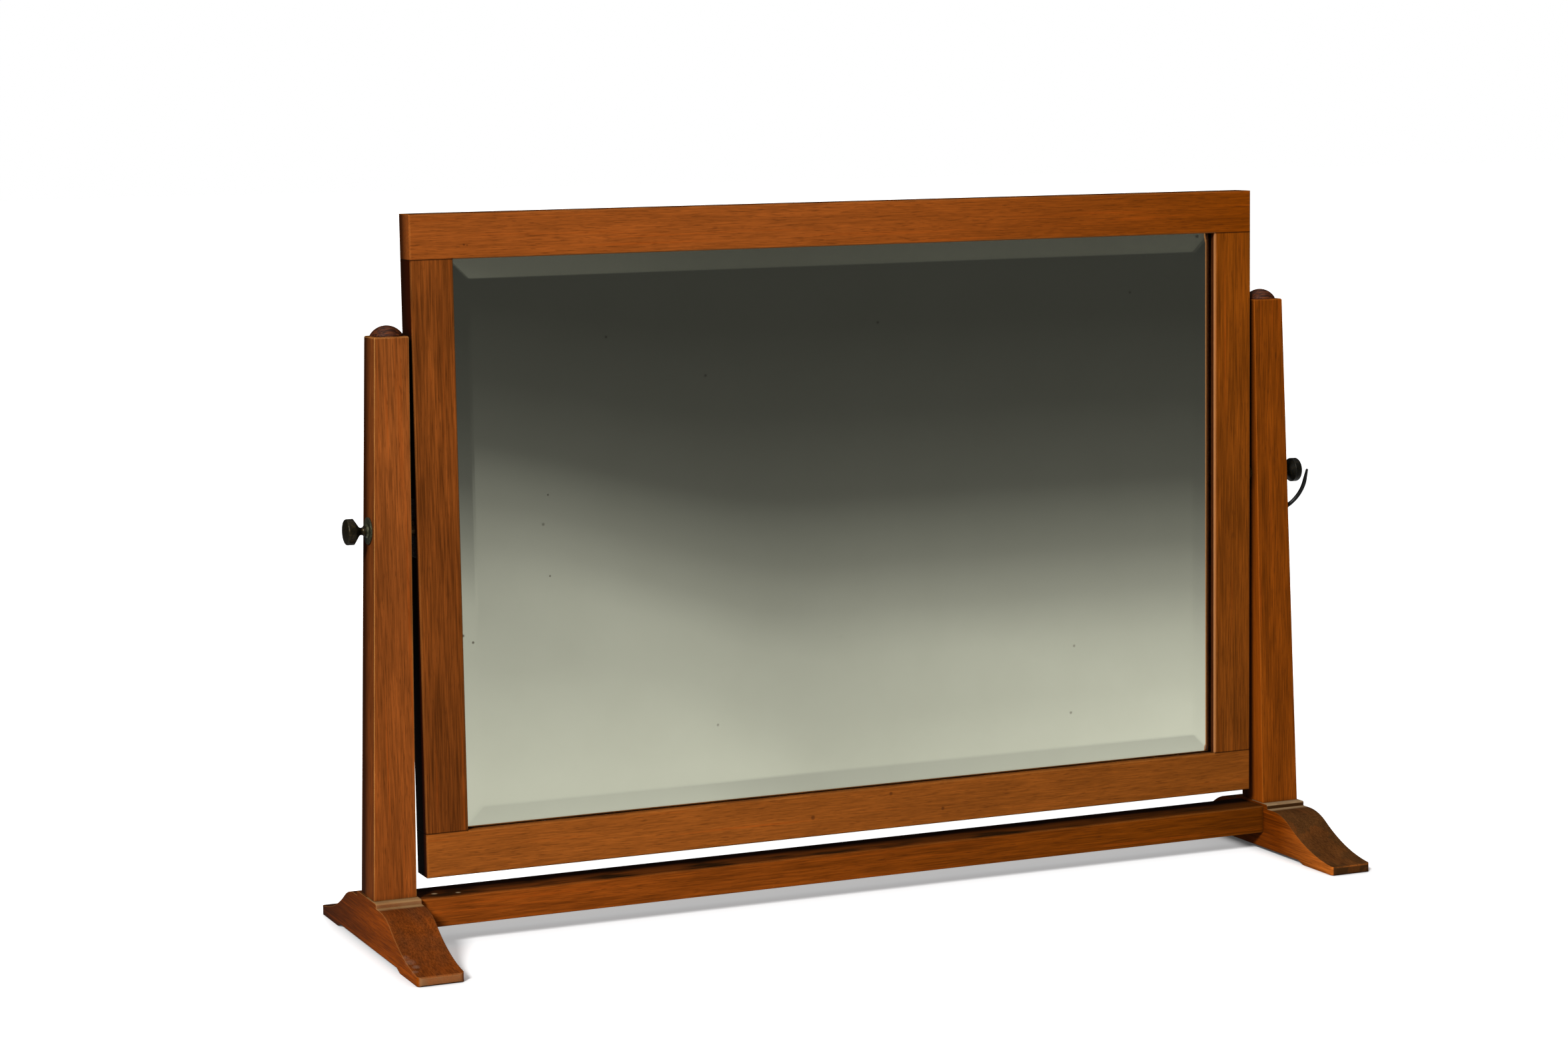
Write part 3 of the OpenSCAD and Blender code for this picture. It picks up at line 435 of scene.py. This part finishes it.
def make_silver():
    """The silver lies on the back of the plate. It is a thin closed sheet just inside the glass."""
    low, high = (Vector(corner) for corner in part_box("mirror_glass"))
    margin, inside, thickness = 0.3 * MM, 0.02 * MM, 0.04 * MM
    size = Vector((high.x - low.x - 2 * margin, thickness, high.z - low.z - 2 * margin))
    middle = Vector(((low.x + high.x) / 2, high.y - inside - thickness / 2, (low.z + high.z) / 2))
    mesh = bmesh.new()
    bmesh.ops.create_cube(mesh, size=1.0)
    bmesh.ops.scale(mesh, vec=size, verts=mesh.verts)
    bmesh.ops.translate(mesh, vec=middle, verts=mesh.verts)
    data = bpy.data.meshes.new("silvering")
    mesh.to_mesh(data)
    mesh.free()
    sheet = bpy.data.objects.new("silvering", data)
    scene.collection.objects.link(sheet)
    data.materials.append(silvering("silvering", SILVER_MARKS))
    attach(sheet, "mirror")


def sheet_object(name, width, depth, matrix):
    """A flat sheet of the studio."""
    mesh = bmesh.new()
    bmesh.ops.create_grid(mesh, x_segments=1, y_segments=1, size=0.5)
    bmesh.ops.scale(mesh, vec=(width, depth, 1.0), verts=mesh.verts)
    bmesh.ops.transform(mesh, matrix=matrix, verts=mesh.verts)
    data = bpy.data.meshes.new(name)
    mesh.to_mesh(data)
    mesh.free()
    made = bpy.data.objects.new(name, data)
    scene.collection.objects.link(made)
    return made


def mirrored_tone(tree, parts):
    """The paper as the mirror shows it: a painted pool of light that glows bright near the object and fades into the
    dark room with its distance from it. On the left it reaches further, and it ends sooner behind."""
    front = add(tree, "Math", {0: parts["Y"], 1: -1.0}, operation="MULTIPLY").outputs[0]
    slant = add(tree, "Math", {0: parts["X"], 1: front}, operation="DIVIDE").outputs[0]
    slant = add(tree, "MapRange", {"Value": slant, "From Min": 0.18, "From Max": 0.42, "To Min": 0.62,
                                   "To Max": 1.0}, interpolation_type="SMOOTHSTEP").outputs[0]
    front = add(tree, "Math", {0: front, 1: slant}, operation="MULTIPLY").outputs[0]
    behind = add(tree, "Math", {0: parts["Y"], 1: 2.5}, operation="MULTIPLY").outputs[0]
    away = add(tree, "Math", {0: front, 1: behind}, operation="MAXIMUM").outputs[0]
    share = add(tree, "Math", {0: away, 1: 1 / FADE_LENGTH}, operation="MULTIPLY").outputs[0]
    tone = add(tree, "ValToRGB", {"Fac": share}, stops=MIRRORED_PAPER).outputs[0]
    # painted light: a little brighter still to the right
    right = add(tree, "MapRange", {"Value": parts["X"], "From Min": 0.2, "From Max": 0.6, "To Min": 1.0,
                                   "To Max": 1.3}).outputs[0]
    return add(tree, "Math", {0: tone, 1: right}, operation="MULTIPLY").outputs[0]


def make_floor():
    """Pale paper, white to the camera with the object's shadow kept."""
    floor = sheet_object("floor", FLOOR_SIZE, FLOOR_SIZE, Matrix.Translation((0.0, 0.0, -FLOOR_DROP)))
    material, tree = new_material("white_paper_floor")
    rays = add(tree, "LightPath").outputs
    mirrored = add(tree, "Math", {0: rays["Is Glossy Ray"], 1: rays["Is Transmission Ray"]},
                   operation="MAXIMUM").outputs[0]
    parts = add(tree, "SeparateXYZ", {0: add(tree, "TexCoord").outputs["Object"]}).outputs
    tone = add(tree, "Math", {0: mirrored_tone(tree, parts), 1: mirrored}, operation="MULTIPLY").outputs[0]
    # paper for the camera, darker card for the light that bounces
    card = add(tree, "MapRange", {"Value": rays["Is Camera Ray"], "To Min": 0.3, "To Max": 0.8}).outputs[0]
    card = add(tree, "Mix", {0: mirrored, 2: card, 3: 0.0}, data_type="FLOAT").outputs[0]
    diffuse = add(tree, "BsdfDiffuse", {"Color": card})
    # the paper behind and to the right rises into the white backdrop
    white = add(tree, "MapRange", {"Value": parts["Y"], "From Min": 0.06, "From Max": 0.15, "To Min": PAPER_GLOW,
                                   "To Max": 1.0}, interpolation_type="SMOOTHSTEP").outputs[0]
    beside = add(tree, "MapRange", {"Value": parts["X"], "From Min": 0.375, "From Max": 0.40, "To Min": PAPER_GLOW,
                                    "To Max": 1.0}, interpolation_type="SMOOTHSTEP").outputs[0]
    white = add(tree, "Math", {0: white, 1: beside}, operation="MAXIMUM").outputs[0]
    # painted contact shadow: the paper's glow is dimmed right beside the feet, by ambient occlusion
    near = add(tree, "AmbientOcclusion", {"Distance": 12 * MM}, samples=8).outputs["AO"]
    near = add(tree, "MapRange", {"Value": near, "From Min": 0.5, "From Max": 0.95, "To Min": 0.15}).outputs[0]
    white = add(tree, "Math", {0: white, 1: near}, operation="MULTIPLY").outputs[0]
    glow = add(tree, "Math", {0: white, 1: rays["Is Camera Ray"], 2: tone}, operation="MULTIPLY_ADD").outputs[0]
    glow = add(tree, "Emission", {"Color": (1.0, 1.0, 1.0, 1.0), "Strength": glow})
    finish_surface(tree, add(tree, "AddShader", {0: diffuse.outputs[0], 1: glow.outputs[0]}))
    floor.data.materials.append(material)


def make_wall(name, width, place, turn):
    """A dark side of the studio."""
    wall = sheet_object(name, width, WALL_HEIGHT, Matrix.Translation((*place, WALL_HEIGHT / 2)) @ turn)
    material, tree = new_material("dark_studio_" + name)
    finish_surface(tree, add(tree, "Emission", {"Color": colour(WALL_TONE), "Strength": 1.0}))
    wall.data.materials.append(material)
    wall.visible_camera = False
    wall.visible_diffuse = False
    wall.visible_shadow = False


def make_world():
    """The white backdrop, which gives only AMBIENT of its light."""
    world = bpy.data.worlds.new("white_studio")
    scene.world = world
    world.use_nodes = True
    tree = world.node_tree
    tree.nodes.clear()
    rays = add(tree, "LightPath").outputs
    seen = add(tree, "Math", {0: rays["Is Camera Ray"], 1: rays["Is Glossy Ray"]}, operation="MAXIMUM").outputs[0]
    seen = add(tree, "Math", {0: seen, 1: rays["Is Transmission Ray"]}, operation="MAXIMUM").outputs[0]
    strength = add(tree, "MapRange", {"Value": seen, "To Min": AMBIENT, "To Max": 1.0}).outputs[0]
    sky = add(tree, "Background", {"Color": (1.0, 1.0, 1.0, 1.0), "Strength": strength})
    add(tree, "OutputWorld", {"Surface": sky.outputs[0]})


def make_key(name, azimuth, elevation, level, spread):
    """A broad soft light from the front: azimuth to the left of straight ahead. At level 1 a surface that faces it
    shows its own colour."""
    data = bpy.data.lights.new(name, "SUN")
    data.energy = level * math.pi
    data.angle = math.radians(spread)
    light = bpy.data.objects.new(name, data)
    turn, lift = math.radians(azimuth), math.radians(elevation)
    source = Vector((-math.sin(turn) * math.cos(lift), -math.cos(turn) * math.cos(lift), math.sin(lift)))
    light.matrix_world = source.to_track_quat("Z", "Y").to_matrix().to_4x4()
    scene.collection.objects.link(light)


make_camera()
make_world()
make_floor()
upright = Matrix.Rotation(math.pi / 2, 4, "X")
sideways = Matrix.Rotation(math.pi / 2, 4, "Z") @ upright
make_wall("front_wall", 40.0, (0.0, -9.0), upright)
make_wall("left_wall", 24.0, (-8.0, 3.0), sideways)
make_wall("right_wall", 24.0, (8.0, 3.0), sideways)
make_wall("back_wall", 40.0, (0.0, 10.0), upright)
make_key("softbox", azimuth=45.0, elevation=33.0, level=1.26, spread=13.0)
scene.view_settings.view_transform = "Standard"

# boards, each with its own run of the grain and the brown that the wax gives it, with painted falloff of the light in
# their end tones
# the first of these tints darkens the outer sides: old wax and painted shade
SIDE_WAX_AND_SHADE, KNOT, DENT, SPECK, SCUFF = "#260600", "#30140a", "#3a1a08", "#b09a78", "#8a7868"
POST = {"grain": "z", "fibre": (34.0, 1.0), "rear": (-0.004, 0.008), "span": (0.04, 0.42)}
FRAME = {"rear": (-0.006, 0.006), "worn": (0.45, "#b87838"), "joined": True}
STILE = {**FRAME, "grain": "z", "span": (0.07, 0.48)}
RAIL = {**FRAME, "grain": "x", "fibre": (10.0, 0.9), "figured": 0.6}
FOOT = {"grain": "y", "fibre": (20.0, 1.2), "rear": (-0.02, 0.16)}
BOARDS = {
    "left_post": dict(
        POST, seed=3.1, ends=("#804116", "#84461b"), sides=[(LEFT, 0.42, SIDE_WAX_AND_SHADE)], worn=(0.85, "#c08848")),
    # its inner left face, in the frame's shadow, is painted brighter orange: painted light
    "right_post": dict(
        POST, seed=4.6, ends=("#743808", "#733706"), sides=[(RIGHT, 0.42, SIDE_WAX_AND_SHADE), (LEFT, 0.35, "#a44c09")],
        worn=(0.8, "#a85a18")),
    # its outer side, in the left post's shadow, is painted nearly black: painted shade and old wax
    "left_stile": dict(
        STILE, seed=8.5, ends=("#693510", "#753c13"), fibre=(40.0, 1.2), figured=1.2,
        sides=[(LEFT, 0.95, SIDE_WAX_AND_SHADE)], lip=("X", RIGHT)),
    "right_stile": dict(
        STILE, seed=9.8, ends=("#6b370d", "#743906"), fibre=(40.0, 1.1), sides=[(RIGHT, 0.85, SIDE_WAX_AND_SHADE)],
        lip=("X", LEFT)),
    "top_rail": dict(
        RAIL, seed=6.4, ends=("#904a19", "#733502"), span=(-0.05, 0.33), sides=[(LEFT, 0.25, SIDE_WAX_AND_SHADE)],
        soil_and_shade=(0.9, "#1a0f06"), lip=("Z", DOWN),
        marks=[((-290.2, -11.0, 482.8), 1.0, DENT, 0.7), ((-287.9, -11.0, 482.3), 0.8, DENT, 0.6)]),
    "bottom_rail": dict(
        RAIL, seed=7.9, ends=("#924f1b", "#774012"), span=(-0.33, 0.33), sides=[(LEFT, 0.95, SIDE_WAX_AND_SHADE)],
        marks=[((-37.3, -11.0, 61.4), 2.0, KNOT, 0.8), ((25.2, -11.0, 73.0), 1.7, KNOT, 0.7),
               ((67.2, -11.0, 58.0), 1.7, KNOT, 0.7)]),
    "stretcher": dict(
        grain="x", seed=5.2, ends=("#84400f", "#5b2b02"), fibre=(18.0, 1.1), rear=(-0.004, 0.008),
        span=(-0.33, 0.33), figured=0.85, soil_and_shade=(0.95, "#1c1004"), worn=(0.35, "#a86a30"),
        marks=[((-322.0, -4.0, 34.6), 2.6, SPECK, 0.6), ((-306.0, -8.0, 34.6), 2.2, SPECK, 0.6)]),
    "left_foot": dict(
        FOOT, seed=1.3, ends=("#883e06", "#4c2003"), span=(-0.115, 0.115), soil_and_shade=(0.8, "#4c2a14"),
        worn=(0.35, "#b07a44"), dusty=(1.0, "#8a5f3c", 1.3, "#8e6e48"),
        marks=[((-368.0, -84.0, 15.0), 4.0, SCUFF, 0.25), ((-367.0, -90.0, 12.0), 5.0, SCUFF, 0.2),
               ((-365.0, -97.0, 10.0), 3.5, SCUFF, 0.25), ((-368.0, -104.0, 8.0), 3.0, SCUFF, 0.2)]),
    "right_foot": dict(
        FOOT, seed=2.7, ends=("#b25f1f", "#652c02"), span=(-0.115, -0.04), soil_and_shade=(1.5, "#452a12"),
        worn=(0.3, "#7a4a20"), dusty=(1.5, "#38220e", 1.2, "#887052")),
}
for name, finish in BOARDS.items():
    dress(oak("waxed_oak_" + name, **finish), name)
for seed, name in enumerate(("left_finial", "right_finial")):
    dress(dark_wood("polished_dark_wood_" + name, seed), name)
dress(pine("aged_pine_board", 1.0), "back_board")
dress(pine("aged_pine_blocks", 2.0), "glass_blocks")

dress(aged_brass("olive_patina_brass_knob", ("#3f320f", "#261f0c", "#120f07"), 0.25, 0.0), "left_knob")
# the right knob's brass is a darker copy of the left one's: partly patina, partly painted shade
dress(aged_brass("right_knob_darker_brass", ("#332b1c", "#1a1811", "#0b0c09"), 0.2, 5.0), "right_knob")
dress(aged_brass("grey_green_patina_brass_plates", ("#6c6a4c", "#4a4b38", "#2a2b20"), 0.3, 12.0),
      "left_rose", "right_rose", "left_washer", "right_washer")
dress(aged_brass("brown_patina_brass_fittings", ("#7a5a30", "#4a3518", "#22180c"), 0.3, 27.0),
      "plate_screws", "left_pivot_plate", "right_pivot_plate", "left_spacer", "right_spacer")
dress(aged_brass("dull_yellow_brass_screws", ("#a98c4a", "#7c6530", "#4a3c1d"), 0.6, 40.0), "back_screws")
dress(blackened_iron("blackened_iron_wire"), "hook")
dress(plate_glass("bevelled_plate_glass"), "mirror_glass")

# the chip and the larger specks of the silver, with place and radius in millimetres
SILVER_MARKS = [((287.5, 470.8), 1.8, "#8a8378"), ((-295.4, 213.2), 1.3, "#5c4630"), ((-288.3, 208.0), 1.2, "#5c4630"),
                ((-231.1, 250.5), 0.9, "#6a5640"), ((-231.2, 307.4), 0.9, "#6a5640")]
make_silver()
